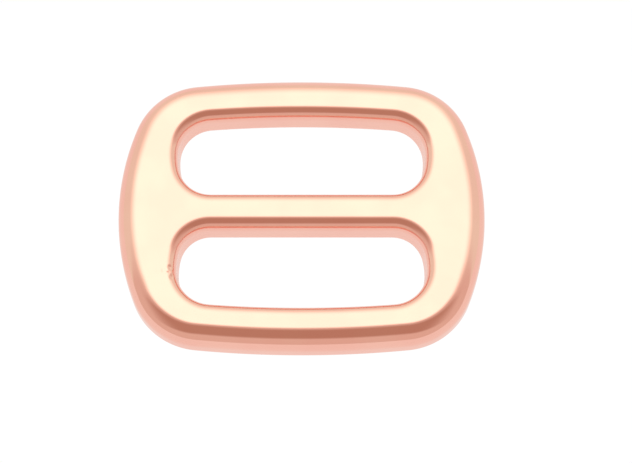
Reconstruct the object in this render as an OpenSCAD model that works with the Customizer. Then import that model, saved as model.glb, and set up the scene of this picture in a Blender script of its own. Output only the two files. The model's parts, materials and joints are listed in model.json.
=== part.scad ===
// Two-slot strap slider: one casting with a fixed centre bar, for webbing that is threaded up through
// one slot, over the bar and down through the other.
// X runs along the slots, across the strap. Y runs the way the strap travels. Z is up, and the flat back
// of the casting lies on Z = 0, with the origin under its middle.

/* [Strap slots] */
// Width of the strap that the slider takes
strap_w = 25; // [20:0.5:40]
// Clearance between the strap and each end of a slot
strap_gap = 0.2; // [0.1:0.05:1]
// Opening of each slot at its middle, the way the strap travels
slot_w = 8.25; // [6.5:0.05:12]
// How far the outer edge of a slot bows out at its middle
slot_bow = 0.65; // [0.2:0.05:1.5]
// Bow radius of the two ends of a slot
slot_end_r = 7; // [6.2:0.1:12]
// Corner radius of a slot next to the centre bar
slot_bar_corner_r = 3.3; // [1.5:0.1:3.5]
// Corner radius of a slot next to a long rail
slot_rail_corner_r = 3.6; // [1.5:0.1:3.7]

/* [Frame] */
// Width of the fixed centre bar
bar_w = 3.85; // [2.8:0.05:8]
// Width of each long rail at its middle
rail_w = 4.35; // [3.6:0.05:8]
// Width of each side rail at its middle
side_w = 6.05; // [4.8:0.05:10]
// Thickness of the casting
body_t = 4.6; // [3.7:0.1:8]
// How far each long edge of the outline bows out at its middle
long_bow = 1.6; // [0.8:0.1:2.4]
// How far each short edge of the outline bows out at its middle
side_bow = 4.5; // [3:0.1:5.5]
// Corner radius of the outline
corner_r = 7.4; // [4:0.1:8]

/* [Rounded edges] */
// Radius around the front of the outline
outline_front_r = 1.95; // [0.8:0.05:2.2]
// Radius around the back of the outline
outline_back_r = 1.6; // [0.4:0.05:1.6]
// Radius around the front of each slot
slot_front_r = 1.15; // [0.5:0.05:1.35]
// Radius around the back of each slot
slot_back_r = 1.25; // [0.4:0.05:1.35]

/* [Hidden] */

slot_l = strap_w + 2 * strap_gap;
body_l = slot_l + 2 * side_w;
body_w = bar_w + 2 * slot_w + 2 * rail_w;
// Largest share of a slot's opening that the corner at the bar and the corner at the rail may take
bar_corner_share = 0.42;
rail_corner_share = 0.44;
bar_corner_r = min(slot_bar_corner_r, bar_corner_share * slot_w);
rail_corner_r = min(slot_rail_corner_r, rail_corner_share * slot_w);

// Steps that draw each arc in a quarter of the outline
side_steps = 5;
corner_steps = 9;
long_steps = 5;
// Steps that draw each arc in half of a slot
bar_corner_steps = 7;
end_steps = 3;
rail_corner_steps = 6;
rail_steps = 5;
// Steps that draw the quarter round of an edge
outline_edge_steps = 6;
slot_edge_steps = 5;

// Radius of an arc that bows out by bow over a chord of 2 * half
function bow_radius(bow, half) = (half * half + bow * bow) / (2 * bow);
// Direction from one point to another, in degrees
function heading(from, to) = atan2(to[1] - from[1], to[0] - from[0]);
// Centre of the arc of radius r that rounds the corner between two arcs, given by their centres and radii
function corner_centre(c1, r1, c2, r2, r) =
    let (gap = c2 - c1, len = norm(gap), a = r1 - r, b = r2 - r)
    let (along = (a * a - b * b + len * len) / (2 * len), off = sqrt(a * a - along * along))
    c1 + (along * gap + off * [-gap[1], gap[0]]) / len;

// Outline where X and Y are positive: a side edge, the corner and a long edge
side_r = bow_radius(side_bow, body_w / 2);
side_c = [body_l / 2 - side_r, 0];
long_r = bow_radius(long_bow, body_l / 2);
long_c = [0, body_w / 2 - long_r];
corner_c = corner_centre(side_c, side_r, long_c, long_r, corner_r);
side_to_corner = heading(side_c, corner_c);
corner_to_long = heading(long_c, corner_c);

// Slot on the +Y side where X is positive: a corner at the bar, the end, a corner at the rail and the rail
bar_edge = bar_w / 2;
rail_edge = bar_edge + slot_w;
end_c = [slot_l / 2 - slot_end_r, bar_edge + slot_w / 2];
bar_corner_y = bar_edge + bar_corner_r;
bar_corner_reach = slot_end_r - bar_corner_r;
bar_corner_x = end_c[0] + sqrt(pow(bar_corner_reach, 2) - pow(end_c[1] - bar_corner_y, 2));
bar_corner_c = [bar_corner_x, bar_corner_y];
rail_r = bow_radius(slot_bow, slot_l / 2);
rail_c = [0, rail_edge - rail_r];
rail_corner_c = corner_centre(end_c, slot_end_r, rail_c, rail_r, rail_corner_r);
bar_corner_to_end = heading(end_c, bar_corner_c);
end_to_rail_corner = heading(end_c, rail_corner_c);
rail_corner_to_rail = heading(rail_c, rail_corner_c);

// Points along an arc, without its last one
function arc_points(centre, r, from, to, steps) = [
    for (i = [0 : steps - 1])
        let (a = from + (to - from) * i / steps)
        centre + r * [cos(a), sin(a)]
];
// Points where X is positive, then the one in the middle, then the same points where X is negative
function both_sides(points, middle) = concat(
    points,
    [middle],
    [for (i = [len(points) - 1 : -1 : 0]) [-points[i][0], points[i][1]]]
);
// The outline from its +X end over the +Y side to its -X end, drawn in by inset
function half_outline(inset) = both_sides(
    concat(
        arc_points(side_c, side_r - inset, 0, side_to_corner, side_steps),
        arc_points(corner_c, corner_r - inset, side_to_corner, corner_to_long, corner_steps),
        arc_points(long_c, long_r - inset, corner_to_long, 90, long_steps)
    ),
    [0, body_w / 2 - inset]
);
// The slot on the +Y side from one end of the centre bar to the other, let out by outset
function slot_path(outset) = both_sides(
    concat(
        arc_points(bar_corner_c, bar_corner_r + outset, -90, bar_corner_to_end, bar_corner_steps),
        arc_points(end_c, slot_end_r + outset, bar_corner_to_end, end_to_rail_corner, end_steps),
        arc_points(rail_corner_c, rail_corner_r + outset, end_to_rail_corner, rail_corner_to_rail,
            rail_corner_steps),
        arc_points(rail_c, rail_r + outset, rail_corner_to_rail, 90, rail_steps)
    ),
    [0, rail_edge + outset]
);

// Edge of the casting from back to front: how far the wall has drawn back, and at what height
function edge_profile(back_r, front_r, steps) = concat(
    [for (i = [0 : steps]) let (a = 90 * i / steps) [back_r * (1 - sin(a)), back_r * (1 - cos(a))]],
    [for (i = [0 : steps]) let (a = 90 * i / steps)
        [front_r * (1 - cos(a)), body_t - front_r * (1 - sin(a))]]
);
outline_profile = edge_profile(outline_back_r, outline_front_r, outline_edge_steps);
slot_profile = edge_profile(slot_back_r, slot_front_r, slot_edge_steps);

function at_height(points, z) = [for (p = points) [p[0], p[1], z]];
function turned(points) = [for (p = points) [-p[0], -p[1], p[2]]];
function without_last(points) = [for (i = [0 : len(points) - 2]) points[i]];

// Rings of points, from the back to the front: around the outline, and around the slot on the +Y side
outline_points = [
    for (step = outline_profile)
        let (half = without_last(at_height(half_outline(step[0]), step[1])))
        each concat(half, turned(half))
];
slot_points = [for (step = slot_profile) each at_height(slot_path(step[0]), step[1])];

outline_n = 4 * (side_steps + corner_steps + long_steps);
slot_n = 2 * (bar_corner_steps + end_steps + rail_corner_steps + rail_steps) + 1;
slot_1 = len(outline_points);
slot_2 = slot_1 + len(slot_points);

// Four-sided faces between the rings of a wall, whose n points a ring run anticlockwise from number first
function wall_faces(first, n, rings) = [
    for (ring = [0 : rings - 2], i = [0 : n - 1])
        let (a = first + ring * n + i, b = first + ring * n + (i + 1) % n)
        [a, a + n, b + n, b]
];
function reversed(faces) = [
    for (f = faces) [for (i = [len(f) - 1 : -1 : 0]) f[i]]
];
// Directions of points as seen from the middle of the slot on the +Y side, growing from one end of its
// straight edge to the other
function directions(points) = [
    for (p = points) let (a = heading([0, bar_edge + slot_w / 2], p)) a < -90 ? a + 360 : a
];
// Triangles between half of the outline and a slot, from the outline's point i and the slot's point j on.
// Each is [i, j, true] where it goes on along the outline, and [i, j, false] where it goes on along the slot.
function fill(outline, slot, i, j) =
    let (i_last = i == len(outline) - 1, j_last = j == len(slot) - 1)
    i_last && j_last ? [] :
    let (ahead = j_last || (!i_last && outline[i + 1] < slot[j + 1]))
    concat([[i, j, ahead]], fill(outline, slot, ahead ? i + 1 : i, ahead ? j : j + 1));
// Flat face from the ring of the outline at number outer to the slots' rings at the numbers in slots. The
// outline is drawn in by inset there, and the slots are let out by outset.
function flat_faces(outer, inset, slots, outset) =
    let (triangles = fill(directions(half_outline(inset)), directions(slot_path(outset)), 0, 0))
    concat(
        [for (side = [0, 1], t = triangles)
            let (i = side * outline_n / 2 + t[0], j = slots[side] + t[1])
            [outer + i % outline_n, j, t[2] ? outer + (i + 1) % outline_n : j + 1]],
        [for (side = [0, 1])
            [outer + side * outline_n / 2, slots[1 - side] + slot_n - 1, slots[side]]],
        [[slots[0], slots[1] + slot_n - 1, slots[1], slots[0] + slot_n - 1]]
    );

// The casting, with its rounded outline and the rounded walls of its two slots
module slider_frame() {
    outline_rings = len(outline_profile);
    slot_rings = len(slot_profile);
    front_ring = (outline_rings - 1) * outline_n;
    front_slot = (slot_rings - 1) * slot_n;
    color("#f2b8a2") polyhedron(
        points = concat(outline_points, slot_points, turned(slot_points)),
        faces = concat(
            wall_faces(0, outline_n, outline_rings),
            reversed(wall_faces(slot_1, slot_n, slot_rings)),
            reversed(wall_faces(slot_2, slot_n, slot_rings)),
            flat_faces(front_ring, outline_front_r, [slot_1 + front_slot, slot_2 + front_slot], slot_front_r),
            reversed(flat_faces(0, outline_back_r, [slot_1, slot_2], slot_back_r))
        )
    );
}

slider_frame();
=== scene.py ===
import json
import math

import bmesh
import bpy
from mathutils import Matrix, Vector


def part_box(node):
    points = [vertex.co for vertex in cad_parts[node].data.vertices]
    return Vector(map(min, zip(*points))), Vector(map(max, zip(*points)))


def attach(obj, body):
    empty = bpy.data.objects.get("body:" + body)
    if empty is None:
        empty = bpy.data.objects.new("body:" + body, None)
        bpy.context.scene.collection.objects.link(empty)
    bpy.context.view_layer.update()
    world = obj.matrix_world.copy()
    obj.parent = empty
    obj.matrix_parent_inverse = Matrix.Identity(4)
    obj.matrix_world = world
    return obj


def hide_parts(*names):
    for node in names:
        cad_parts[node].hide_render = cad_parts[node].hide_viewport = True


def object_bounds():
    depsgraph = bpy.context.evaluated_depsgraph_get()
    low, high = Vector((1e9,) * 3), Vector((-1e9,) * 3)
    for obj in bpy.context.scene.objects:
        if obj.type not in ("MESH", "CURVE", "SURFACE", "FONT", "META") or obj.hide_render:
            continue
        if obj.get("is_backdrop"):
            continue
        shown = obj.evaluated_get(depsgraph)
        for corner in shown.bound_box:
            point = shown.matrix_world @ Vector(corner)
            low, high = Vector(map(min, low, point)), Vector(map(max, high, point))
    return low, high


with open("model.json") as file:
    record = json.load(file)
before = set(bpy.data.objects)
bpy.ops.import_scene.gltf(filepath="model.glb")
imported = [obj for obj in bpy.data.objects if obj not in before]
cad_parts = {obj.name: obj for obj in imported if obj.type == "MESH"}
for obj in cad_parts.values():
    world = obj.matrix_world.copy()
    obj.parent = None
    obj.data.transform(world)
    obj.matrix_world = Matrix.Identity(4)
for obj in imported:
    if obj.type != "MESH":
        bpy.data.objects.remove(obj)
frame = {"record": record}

cad_low, cad_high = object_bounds()

MM = 0.001

# ---- The slider's sizes. Its length, width, thickness and slot places come from the frame. ----
low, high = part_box("slider_frame")
length = high.x - low.x
width = high.y - low.y
back, front = low.z, high.z
mounts = {mount["name"]: mount for mount in frame["record"]["mounts"]}
slot_middle = mounts["strap_slot_1"]["pos_m"][1]

slot_length = 25.4 * MM
slot_width = 8.25 * MM
slot_bow = 0.65 * MM
slot_end_r = 7 * MM
slot_bar_corner_r = 3.3 * MM
slot_rail_corner_r = 3.6 * MM
long_bow = 1.6 * MM
side_bow = 4.5 * MM
corner_r = 7.4 * MM
outline_front_r = 1.95 * MM
outline_back_r = 1.6 * MM
slot_front_r = 1.15 * MM
slot_back_r = 1.25 * MM

# Polishing blurs where a rounded edge starts: how much further in, and the profile that is 0.5 on an arc
outline_polish = (1.06, 0.53)
slot_polish = (1.25, 0.60)
outline_back_polish = (1, 0.5)
slot_back_polish = (1.25, 0.5)
# It also takes the front down a little towards both ends: from where, and how much at the very end
crown_start = 13 * MM
crown_drop = 0.085 * MM

# How far the ends of the slots lean in towards the back, as a casting does to leave its mould
slot_lean = 0.3 * MM
# How far past a slot's end and its edge at the rail its walls and rounded edges reach
past_slot_end = 2 * MM
past_slot_edge = 1.8 * MM

# A flaw in the casting at the left end of the lower slot: the place of each dent or bead, and how far it
# stands out of the surface, in millimetres
flaws = (
    (-13.50, -6.45, 0.030),
    (-13.25, -6.20, -0.050),
    (-13.00, -6.65, 0.045),
    (-13.05, -7.15, -0.060),
)
# How wide each dent or bead is from its middle, and how far below the front the flaw goes
flaw_reach = 0.34 * MM
flaw_depth = 1.3 * MM

# What the camera sees behind and under the slider: just past white, so that noise doesn't grey it
backdrop_white = (1.02, 1.02, 1.02)

# Longest stretch of outline between two points, the faces across each rounded edge, and the strips of crown
OUTLINE_STEP = 0.3 * MM
EDGE_SEGMENTS = 24
CROWN_STRIP = 0.25 * MM
# How near two places are before they count as one
HAIR = 0.001 * MM


# ---- Modelling by hand: the few moves that draw and shape the casting. ----
def deselect_everything():
    bpy.ops.object.select_all(action="DESELECT")


def start_drawing(name, place):
    """A new piece that is a lone point, left selected in edit mode."""
    deselect_everything()
    bpy.ops.mesh.primitive_plane_add(size=1 * MM, location=(0, 0, 0))
    piece = bpy.context.object
    piece.name = name
    piece.data.name = name
    bpy.ops.object.mode_set(mode="EDIT")
    bpy.ops.mesh.merge(type="CENTER")
    bpy.ops.transform.translate(value=place)
    return piece


def draw_line(start, end):
    """Draws on from the selected point at start to end, in steps short enough to bend the edge later."""
    steps = math.ceil((end - start).length / OUTLINE_STEP)
    for _ in range(steps):
        bpy.ops.mesh.extrude_region_move(
            TRANSFORM_OT_translate={"value": (end - start) / steps}
        )


def draw_arc(centre, radius, start, end):
    """Draws on from the selected point round centre, from one heading to another, in degrees."""
    turn = math.radians(end - start)
    steps = math.ceil(abs(turn) * radius / OUTLINE_STEP)
    bpy.ops.mesh.spin(steps=steps, angle=-turn, center=centre, axis=(0, 0, 1))


def select_faces(piece, wanted):
    """Selects only the faces that wanted(face) picks."""
    bpy.ops.mesh.select_mode(type="FACE")
    bpy.ops.mesh.select_all(action="DESELECT")
    shape = bmesh.from_edit_mesh(piece.data)
    shape.faces.ensure_lookup_table()
    for face in shape.faces:
        face.select = wanted(face)
    shape.select_flush_mode()
    bmesh.update_edit_mesh(piece.data)


def select_edges(piece, wanted):
    """Selects only the edges that wanted(edge) picks."""
    bpy.ops.mesh.select_mode(type="EDGE")
    bpy.ops.mesh.select_all(action="DESELECT")
    shape = bmesh.from_edit_mesh(piece.data)
    for edge in shape.edges:
        edge.select = wanted(edge)
    shape.select_flush_mode()
    bmesh.update_edit_mesh(piece.data)


def apply_modifier(piece, kind, **settings):
    modifier = piece.modifiers.new(kind.lower(), kind)
    for name, value in settings.items():
        setattr(modifier, name, value)
    bpy.ops.object.modifier_apply(modifier=modifier.name)


# ---- The casting's outline. ----
def bow_radius(bow, half):
    """Radius of an arc that bows out by bow over a chord of 2 * half."""
    return (half * half + bow * bow) / (2 * bow)


def heading(start, end):
    return math.degrees(math.atan2(end.y - start.y, end.x - start.x))


def corner_centre(centre_1, r_1, centre_2, r_2, r):
    """Centre of the arc of radius r that rounds the corner between two arcs."""
    gap = centre_2 - centre_1
    a, b = r_1 - r, r_2 - r
    along = (a * a - b * b + gap.length_squared) / (2 * gap.length)
    off = math.sqrt(a * a - along * along)
    return centre_1 + (along * gap + off * Vector((-gap.y, gap.x, 0))) / gap.length


bar_edge = slot_middle - slot_width / 2
rail_edge = slot_middle + slot_width / 2


def draw_slot():
    """Half of a slot's edge, from the middle of the bar to the middle of the rail."""
    end_c = Vector((slot_length / 2 - slot_end_r, slot_middle, back))
    reach = slot_end_r - slot_bar_corner_r
    rise = bar_edge + slot_bar_corner_r - slot_middle
    bar_corner_c = end_c + Vector((math.sqrt(reach**2 - rise**2), rise, 0))
    rail_r = bow_radius(slot_bow, slot_length / 2)
    rail_c = Vector((0, rail_edge - rail_r, back))
    rail_corner_c = corner_centre(end_c, slot_end_r, rail_c, rail_r, slot_rail_corner_r)
    to_end = heading(end_c, bar_corner_c)
    to_rail_corner = heading(end_c, rail_corner_c)
    to_rail = heading(rail_c, rail_corner_c)
    draw_line(Vector((0, bar_edge, back)), Vector((bar_corner_c.x, bar_edge, back)))
    draw_arc(bar_corner_c, slot_bar_corner_r, -90, to_end)
    draw_arc(end_c, slot_end_r, to_end, to_rail_corner)
    draw_arc(rail_corner_c, slot_rail_corner_r, to_rail_corner, to_rail)
    draw_arc(rail_c, rail_r, to_rail, 90)


def draw_outline():
    """A quarter of the outline, from the middle of the long edge to the middle of the short edge."""
    side_r = bow_radius(side_bow, width / 2)
    side_c = Vector((length / 2 - side_r, 0, back))
    long_r = bow_radius(long_bow, length / 2)
    long_c = Vector((0, width / 2 - long_r, back))
    corner_c = corner_centre(side_c, side_r, long_c, long_r, corner_r)
    draw_arc(long_c, long_r, 90, heading(long_c, corner_c))
    draw_arc(corner_c, corner_r, heading(long_c, corner_c), heading(side_c, corner_c))
    draw_arc(side_c, side_r, heading(side_c, corner_c), 0)


def in_slot(place):
    return abs(place.x) < slot_length / 2 + HAIR and abs(place.y) < rail_edge + HAIR


def round_edge(piece, height, slots, radius, polish):
    """Rounds the sharp edges at one height, round the two slots or round the outline."""

    def wanted(edge):
        level = all(abs(v.co.z - height) < HAIR for v in edge.verts)
        sharp = len(edge.link_faces) == 2 and edge.calc_face_angle() > math.radians(60)
        return level and sharp and in_slot(edge.verts[0].co) == slots

    reach, profile = polish
    select_edges(piece, wanted)
    bpy.ops.mesh.bevel(
        offset_type="OFFSET", offset=radius * reach, segments=EDGE_SEGMENTS, profile=profile,
        affect="EDGES", clamp_overlap=False, loop_slide=True,
    )


def crown_ends(piece):
    """Cuts the flat front into strips across both ends, and lets the ends down on an even curve."""
    reach = length / 2 - crown_start
    for strip in range(int(reach / CROWN_STRIP)):
        for side in (-1, 1):
            select_faces(piece, lambda face: face.normal.z > 0.999
                         and face.calc_center_median().z > front - HAIR)
            bpy.ops.mesh.bisect(
                plane_co=(side * (crown_start + strip * CROWN_STRIP), 0, 0), plane_no=(1, 0, 0)
            )
    shape = bmesh.from_edit_mesh(piece.data)
    for vertex in shape.verts:
        past = abs(vertex.co.x) - crown_start
        if past > 0 and vertex.co.z > front - outline_front_r * outline_polish[0] - HAIR:
            vertex.co.z -= crown_drop * (past / reach) ** 2
    bmesh.update_edit_mesh(piece.data)


def lean_slots(piece):
    """Leans the end walls of the slots in, by more and more from the front rounding to the back."""
    top = front - slot_front_r * slot_polish[0]
    shape = bmesh.from_edit_mesh(piece.data)
    for vertex in shape.verts:
        x, y, z = vertex.co
        near_slot = abs(x) < slot_length / 2 + past_slot_end and abs(y) < rail_edge + past_slot_edge
        if near_slot and z < top:
            near_end = min(1, abs(x) / (slot_length / 2)) ** 4
            vertex.co.x -= math.copysign(slot_lean * near_end * (top - z) / (top - back), x)
    bmesh.update_edit_mesh(piece.data)


def mar_edges(piece):
    """Presses in the dents and draws out the beads of the flaw."""
    places = [Vector((x * MM, y * MM, front)) for x, y, _ in flaws]
    select_faces(piece, lambda face: face.calc_center_median().z > front - flaw_depth and any(
        (face.calc_center_median() - place).to_2d().length < 2 * flaw_reach for place in places))
    bpy.ops.mesh.subdivide(number_cuts=2)
    bpy.ops.mesh.select_mode(type="VERT")
    for place, (_, _, rise) in zip(places, flaws):
        bpy.ops.mesh.select_all(action="DESELECT")
        shape = bmesh.from_edit_mesh(piece.data)
        nearest = min(shape.verts, key=lambda vertex: (vertex.co - place).length)
        nearest.select = True
        outward = nearest.normal.copy()
        shape.select_flush_mode()
        bmesh.update_edit_mesh(piece.data)
        bpy.ops.transform.translate(
            value=outward * rise * MM, use_proportional_edit=True, proportional_size=flaw_reach,
            proportional_edit_falloff="SMOOTH",
        )


def make_slider():
    piece = start_drawing("strap_slider", Vector((0, bar_edge, back)))
    draw_slot()
    bpy.ops.mesh.extrude_region_move(
        TRANSFORM_OT_translate={"value": (0, width / 2 - rail_edge, 0)}
    )
    draw_outline()
    bpy.ops.mesh.extrude_region_move(TRANSFORM_OT_translate={"value": (-length / 2, 0, 0)})
    bpy.ops.mesh.extrude_region_move(TRANSFORM_OT_translate={"value": (0, bar_edge, 0)})
    bpy.ops.mesh.select_all(action="SELECT")
    bpy.ops.mesh.remove_doubles(threshold=HAIR)
    bpy.ops.mesh.edge_face_add()
    bpy.ops.mesh.extrude_region_move(TRANSFORM_OT_translate={"value": (0, 0, front - back)})
    # The quarter's cut faces go, so that its mirrored copies join into one skin.
    select_faces(piece, lambda face: all(abs(v.co.x) < HAIR for v in face.verts)
                 or all(abs(v.co.y) < HAIR for v in face.verts))
    bpy.ops.mesh.delete(type="FACE")
    bpy.ops.object.mode_set(mode="OBJECT")
    apply_modifier(piece, "MIRROR", use_axis=(True, True, False), merge_threshold=HAIR)
    bpy.ops.object.mode_set(mode="EDIT")
    bpy.ops.mesh.select_all(action="SELECT")
    bpy.ops.mesh.normals_make_consistent(inside=False)
    round_edge(piece, front, False, outline_front_r, outline_polish)
    round_edge(piece, back, False, outline_back_r, outline_back_polish)
    round_edge(piece, front, True, slot_front_r, slot_polish)
    round_edge(piece, back, True, slot_back_r, slot_back_polish)
    lean_slots(piece)
    crown_ends(piece)
    mar_edges(piece)
    bpy.ops.mesh.select_all(action="SELECT")
    bpy.ops.mesh.normals_make_consistent(inside=False)
    bpy.ops.object.mode_set(mode="OBJECT")
    bpy.ops.object.shade_smooth()
    apply_modifier(piece, "WEIGHTED_NORMAL", mode="FACE_AREA", weight=50)
    return piece


# ---- Shader nodes that the finishes and the studio share. ----
def add_math(tree, operation, first, second=None):
    """A Math node fed by sockets or numbers, and its output."""
    node = tree.nodes.new("ShaderNodeMath")
    node.operation = operation
    for number, value in enumerate((first, second)):
        if isinstance(value, bpy.types.NodeSocket):
            tree.links.new(value, node.inputs[number])
        elif value is not None:
            node.inputs[number].default_value = value
    return node.outputs[0]


def add_step(tree, value, start, end):
    """Rises smoothly from 0 where value is start to 1 where it is end, which may be the lower one."""
    node = tree.nodes.new("ShaderNodeMapRange")
    node.interpolation_type = "SMOOTHSTEP"
    tree.links.new(value, node.inputs["Value"])
    node.inputs["From Min"].default_value = min(start, end)
    node.inputs["From Max"].default_value = max(start, end)
    node.inputs["To Min"].default_value = 0 if start < end else 1
    node.inputs["To Max"].default_value = 1 if start < end else 0
    return node.outputs["Result"]


def lay_over(tree, below, colour, mask):
    """colour over what is below it, where the mask is 1."""
    node = tree.nodes.new("ShaderNodeMix")
    node.data_type = "RGBA"
    tree.links.new(mask, node.inputs["Factor"])
    for name, value in (("A", below), ("B", colour)):
        if isinstance(value, bpy.types.NodeSocket):
            tree.links.new(value, node.inputs[name])
        else:
            node.inputs[name].default_value = (*value, 1)
    return node.outputs["Result"]


# ---- Finishes. ----
def rose_gold_plate():
    """Mirror-bright plating over a polished casting: faint ripples from the polishing wheel, a little haze
    where the wheel can't reach, and plating that is a little thicker in some places than in others."""
    material = bpy.data.materials.new("rose_gold_plate")
    material.use_nodes = True
    tree = material.node_tree
    shader = tree.nodes["Principled BSDF"]
    shader.inputs["Metallic"].default_value = 1
    coordinates = tree.nodes.new("ShaderNodeTexCoord").outputs["Object"]

    def add_noise(size, detail, stretch=(1, 1, 1)):
        """Noise whose patches are about size across, drawn out by stretch."""
        mapping = tree.nodes.new("ShaderNodeMapping")
        mapping.inputs["Scale"].default_value = [1 / (size * s) for s in stretch]
        tree.links.new(coordinates, mapping.inputs["Vector"])
        noise = tree.nodes.new("ShaderNodeTexNoise")
        noise.inputs["Scale"].default_value = 1
        noise.inputs["Detail"].default_value = detail
        tree.links.new(mapping.outputs["Vector"], noise.inputs["Vector"])
        return noise.outputs["Fac"]

    def add_bump(height, tallest, normal=None):
        bump = tree.nodes.new("ShaderNodeBump")
        bump.inputs["Strength"].default_value = 1
        bump.inputs["Distance"].default_value = tallest
        tree.links.new(height, bump.inputs["Height"])
        if normal:
            tree.links.new(normal, bump.inputs["Normal"])
        return bump.outputs["Normal"]

    thin_plate = (0.970, 0.575, 0.480)
    thick_plate = (0.965, 0.550, 0.462)
    thickness = add_step(tree, add_noise(5 * MM, 2), 0.35, 0.65)
    colour = lay_over(tree, thin_plate, thick_plate, thickness)
    split = tree.nodes.new("ShaderNodeSeparateXYZ")
    tree.links.new(coordinates, split.inputs[0])
    tree.links.new(colour, shader.inputs["Base Color"])

    # The wheel reaches the slots' rounded edges and walls less well than the outside.
    along_slot = (14.2 * MM, 13.6 * MM)
    across_slot = (11.9 * MM, 11.3 * MM)
    under_front = (front - 0.02 * MM, front - 0.4 * MM)
    polished = 0.065
    wiped = 0.03
    hazy = 0.14
    off_x = add_math(tree, "ABSOLUTE", split.outputs["X"])
    off_y = add_math(tree, "ABSOLUTE", split.outputs["Y"])
    in_slots = add_step(tree, off_x, *along_slot)
    in_slots = add_math(tree, "MULTIPLY", in_slots, add_step(tree, off_y, *across_slot))
    in_slots = add_math(tree, "MULTIPLY", in_slots, add_step(tree, split.outputs["Z"], *under_front))
    haze = add_math(tree, "MULTIPLY", in_slots, hazy)
    wipes = add_math(tree, "MULTIPLY", add_noise(0.6 * MM, 3, (6, 1, 1)), wiped)
    roughness = add_math(tree, "ADD", add_math(tree, "ADD", wipes, haze), polished)
    tree.links.new(roughness, shader.inputs["Roughness"])

    ripples = add_bump(add_noise(3.2 * MM, 0, (2.5, 1, 1)), 0.011 * MM)
    pits = add_bump(add_noise(0.35 * MM, 2), 0.0006 * MM, ripples)
    tree.links.new(pits, shader.inputs["Normal"])
    return material


def make_floor():
    """A plain white table lit from below, so that it shows no shadow. The slider mirrors a dimmer white,
    because it stands over what it mirrors."""
    deselect_everything()
    bpy.ops.mesh.primitive_plane_add(size=6, location=(0, 0, cad_low.z))
    floor = bpy.context.object
    floor.name = "floor"
    material = bpy.data.materials.new("white_floor")
    material.use_nodes = True
    tree = material.node_tree
    shader = tree.nodes["Principled BSDF"]
    shader.inputs["Base Color"].default_value = (0, 0, 0, 1)
    shader.inputs["Specular IOR Level"].default_value = 0
    seen_directly = tree.nodes.new("ShaderNodeLightPath").outputs["Is Camera Ray"]
    in_slider_shade = (0.92, 0.86, 0.83)
    white = lay_over(tree, in_slider_shade, backdrop_white, seen_directly)
    tree.links.new(white, shader.inputs["Emission Color"])
    shader.inputs["Emission Strength"].default_value = 1
    floor.data.materials.append(material)
    floor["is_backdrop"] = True


# ---- Camera and light. ----
def make_camera():
    distance = 0.2939
    elevation = math.radians(71.1)
    place = distance * Vector((0, -math.cos(elevation), math.sin(elevation)))
    bpy.ops.object.camera_add(location=place, rotation=(math.pi / 2 - elevation, 0, 0))
    camera = bpy.context.object
    camera.data.sensor_width = 36
    camera.data.lens = 162.1
    camera.data.shift_x = 0.0228
    camera.data.shift_y = -0.0119
    bpy.context.scene.camera = camera


def make_studio():
    """Plain soft light, drawn on the sky: a warm room with a pale back wall, one softbox above and behind
    the slider, and a dark ceiling.

    Places are in degrees. The arch goes from the front horizon, 0, over the top, 90, to the back horizon,
    180. The side goes from the left, -90, to the right, 90.
    """
    room = (0.76, 0.63, 0.56)
    back_wall = (0.86, 0.87, 0.77)
    back_wall_edge = (96, 112)
    softbox = (1.6, 1.65, 1.5)
    softbox_edges = ((98, 106), (165, 115), (45, 8))
    ceiling = (0.50, 0.32, 0.25)
    ceiling_edges = ((35, 50), (100, 88), (60, 15))
    world = bpy.data.worlds.new("studio")
    bpy.context.scene.world = world
    world.use_nodes = True
    tree = world.node_tree
    coordinates = tree.nodes.new("ShaderNodeTexCoord")
    split = tree.nodes.new("ShaderNodeSeparateXYZ")
    tree.links.new(coordinates.outputs["Generated"], split.inputs[0])
    to_front = add_math(tree, "MULTIPLY", split.outputs["Y"], -1)
    arch = add_math(tree, "DEGREES", add_math(tree, "ARCTAN2", split.outputs["Z"], to_front))
    side = add_math(tree, "DEGREES", add_math(tree, "ARCSINE", split.outputs["X"]))
    off_middle = add_math(tree, "ABSOLUTE", side)

    def add_card(front_edge, back_edge, side_edges):
        """Mask of a soft-edged card; each edge is the two places between which it fades in."""
        mask = add_math(tree, "MULTIPLY", add_step(tree, arch, *front_edge), add_step(tree, arch, *back_edge))
        return add_math(tree, "MULTIPLY", mask, add_step(tree, off_middle, *side_edges))

    sky = lay_over(tree, room, back_wall, add_step(tree, arch, *back_wall_edge))
    sky = lay_over(tree, sky, softbox, add_card(*softbox_edges))
    sky = lay_over(tree, sky, ceiling, add_card(*ceiling_edges))
    seen_directly = tree.nodes.new("ShaderNodeLightPath").outputs["Is Camera Ray"]
    sky = lay_over(tree, sky, backdrop_white, seen_directly)
    tree.links.new(sky, tree.nodes["Background"].inputs["Color"])
    bpy.context.scene.view_settings.view_transform = "Standard"


make_camera()
make_studio()
make_floor()
slider = make_slider()
slider.data.materials.append(rose_gold_plate())
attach(slider, "root")
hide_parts("slider_frame")

low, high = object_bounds()
